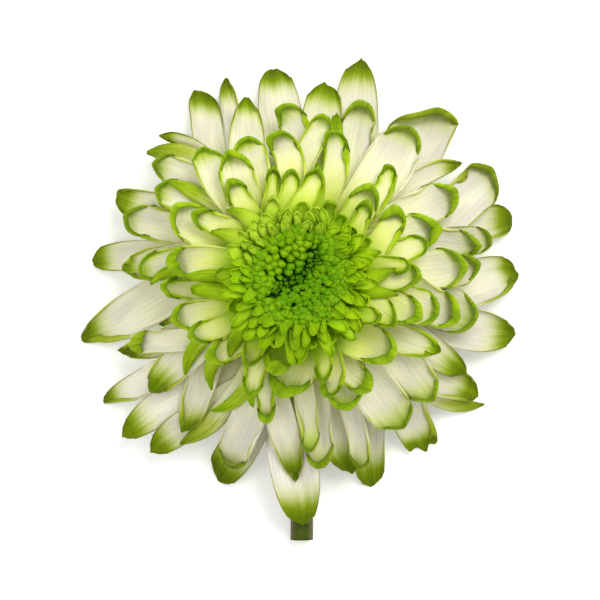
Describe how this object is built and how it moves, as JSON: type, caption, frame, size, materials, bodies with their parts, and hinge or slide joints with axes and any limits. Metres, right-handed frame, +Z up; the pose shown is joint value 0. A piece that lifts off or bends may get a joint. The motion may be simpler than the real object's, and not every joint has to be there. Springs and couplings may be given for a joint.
{
  "type": "disbud chrysanthemum",
  "caption": "A cut disbud chrysanthemum bloom lying face up: layered white florets with green tips and margins round a green eye, on a short bent stem.",
  "frame": {"origin": "middle of the box's underside, on the surface that the flower lies on", "axes": "+Z up, out of the face of the bloom; the stem points along -Y"},
  "size_m": [0.1224, 0.1342, 0.0487],
  "materials": {
    "stem": "matt, ribbed, green with mauve-brown sides",
    "bracts": "matt green with paler papery edges",
    "receptacle": "matt pale green",
    "young_florets": "soft satin, bright green",
    "inner_florets": "soft satin, cream to lime with green rims",
    "green_backs": "soft satin, lime",
    "white_florets": "soft satin, white with green tips and margins"
  },
  "bodies": {
    "root": {"stem": "stem", "involucre": "bracts", "receptacle": "receptacle", "central_florets": "young_florets", "cupped_floret_01": "white_florets", "cupped_floret_02": "white_florets", "cupped_floret_03": "white_florets", "cupped_floret_04": "white_florets", "cupped_floret_05": "white_florets", "cupped_floret_06": "white_florets", "cupped_floret_07": "white_florets", "cupped_floret_08": "white_florets", "cupped_floret_09": "white_florets", "cupped_floret_10": "white_florets", "cupped_floret_11": "white_florets", "cupped_floret_12": "white_florets", "cupped_floret_13": "white_florets", "cupped_floret_14": "white_florets", "cupped_floret_15": "white_florets", "cupped_floret_16": "white_florets", "cupped_floret_17": "white_florets", "cupped_floret_18": "white_florets", "cupped_floret_19": "white_florets", "cupped_floret_20": "white_florets", "cupped_floret_21": "white_florets", "inner_florets_1": "inner_florets", "inner_florets_2": "inner_florets", "inner_florets_3": "inner_florets", "inner_florets_4": "inner_florets", "outer_floret_01": "white_florets", "outer_floret_02": "white_florets", "outer_floret_03": "white_florets", "outer_floret_04": "white_florets", "outer_floret_05": "white_florets", "outer_floret_06": "white_florets", "outer_floret_07": "white_florets", "outer_floret_08": "white_florets", "outer_floret_09": "white_florets", "outer_floret_10": "white_florets", "outer_floret_11": "white_florets", "outer_floret_12": "white_florets", "outer_floret_13": "white_florets", "outer_floret_14": "white_florets", "outer_floret_15": "white_florets", "outer_floret_16": "white_florets", "outer_floret_17": "white_florets", "outer_floret_18": "white_florets", "outer_floret_19": "white_florets", "outer_floret_20": "white_florets", "outer_floret_21": "white_florets", "outer_floret_22": "white_florets", "outer_floret_23": "white_florets", "outer_floret_24": "white_florets", "outer_floret_25": "white_florets", "rolled_floret_01": "green_backs", "rolled_floret_02": "green_backs", "rolled_floret_03": "green_backs", "rolled_floret_04": "green_backs"}
  },
  "joints": []
}
